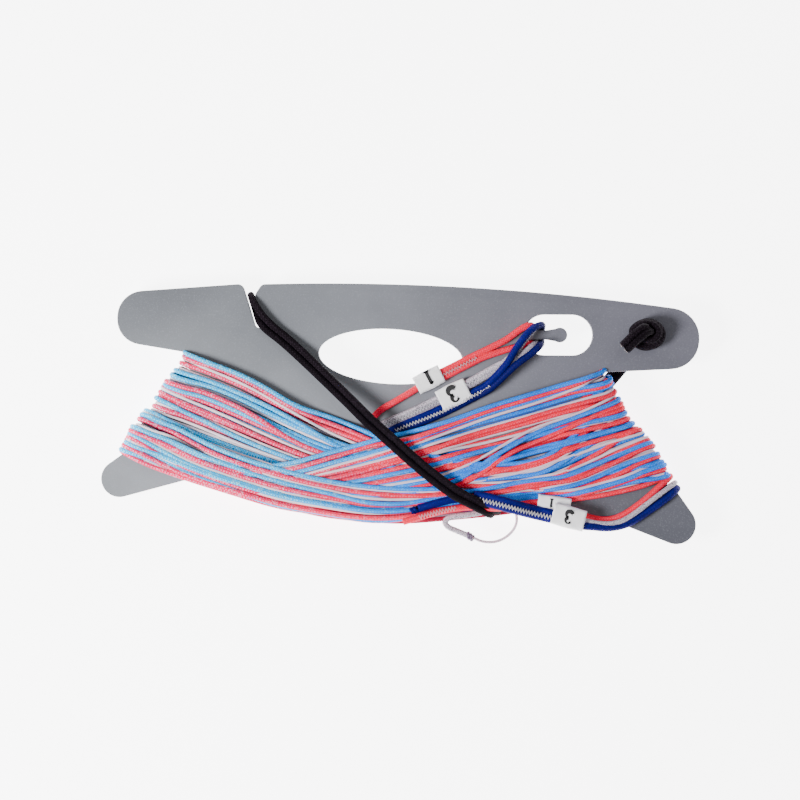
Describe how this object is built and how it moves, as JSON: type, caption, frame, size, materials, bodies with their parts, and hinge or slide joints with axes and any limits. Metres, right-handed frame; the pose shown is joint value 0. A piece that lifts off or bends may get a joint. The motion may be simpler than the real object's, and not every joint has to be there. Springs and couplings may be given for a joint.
{
  "type": "kite line winder",
  "caption": "Flat kite line winder with finger hole, hooked tongue and notch, wound with flying lines and held by a doubled bungee loop.",
  "frame": {"origin": "under the middle of the object's footprint, on the surface it lies on", "axes": "+X along the winder's length, +Y towards the top edge with the notch, +Z out of the front face"},
  "size_m": [0.2744, 0.1172, 0.0286],
  "materials": {
    "plate": "fine stippled moulded plastic, light grey",
    "flying_line": "braided flying lines in red, blue and pale grey",
    "red_sleeve": "braided polyester sleeve, coral red",
    "grey_sleeve": "braided polyester sleeve, grey with dark flecks",
    "navy_sleeve": "braided polyester sleeve, navy blue",
    "grey_line": "thin bare braided line, pale grey",
    "label_tape": "white woven label tape with black numerals",
    "bungee": "black braided elastic cord"
  },
  "bodies": {
    "winder": {"winder_plate": "plate", "wound_flying_lines": "flying_line", "upper_leader_red": "red_sleeve", "upper_leader_grey": "grey_sleeve", "upper_leader_navy": "navy_sleeve", "lower_leader_navy": "navy_sleeve", "lower_leader_grey": "grey_sleeve", "lower_leader_red": "red_sleeve", "navy_end_knot": "navy_sleeve", "lower_grey_sleeve_end": "grey_sleeve", "grey_stopper_knot": "grey_sleeve", "bungee_knot": "bungee", "bungee_tail_a": "bungee", "bungee_tail_b": "bungee", "bungee_back_strand_a": "bungee", "bungee_back_strand_b": "bungee", "bungee_front_strand_a": "bungee", "bungee_front_strand_b": "bungee"},
    "bungee_loop": {"bungee_loop_end": "bungee"},
    "upper_tag_one": {"upper_tag_1": "label_tape"},
    "upper_tag_three": {"upper_tag_3": "label_tape"},
    "lower_tag_one": {"lower_tag_1": "label_tape"},
    "lower_tag_three": {"lower_tag_3": "label_tape"},
    "pigtail": {"grey_line_pigtail": "grey_line"}
  },
  "joints": [
    {"name": "bungee_release", "type": "slide", "parent": "winder", "child": "bungee_loop", "axis": [-0.3725, 0.928, 0], "range_m": [0, 0.02], "stiffness_N_per_m": 60},
    {"name": "upper_tag_1_slide", "type": "slide", "parent": "winder", "child": "upper_tag_one", "axis": [0.8462, 0.5329, 0], "range_m": [-0.002, 0.002]},
    {"name": "upper_tag_3_slide", "type": "slide", "parent": "winder", "child": "upper_tag_three", "axis": [0.8517, 0.524, 0], "range_m": [-0.002, 0.002]},
    {"name": "lower_tag_1_slide", "type": "slide", "parent": "winder", "child": "lower_tag_one", "axis": [0.9848, -0.1736, 0], "range_m": [-0.0015, 0.0015]},
    {"name": "lower_tag_3_slide", "type": "slide", "parent": "winder", "child": "lower_tag_three", "axis": [0.986, -0.1668, 0], "range_m": [-0.0015, 0.0015]},
    {"name": "pigtail_swing", "type": "hinge", "parent": "winder", "child": "pigtail", "pos_m": [0.0358, -0.0566, 0.0149], "axis": [0.8744, 0.4844, 0.0285], "range_deg": [-25, 40]}
  ]
}
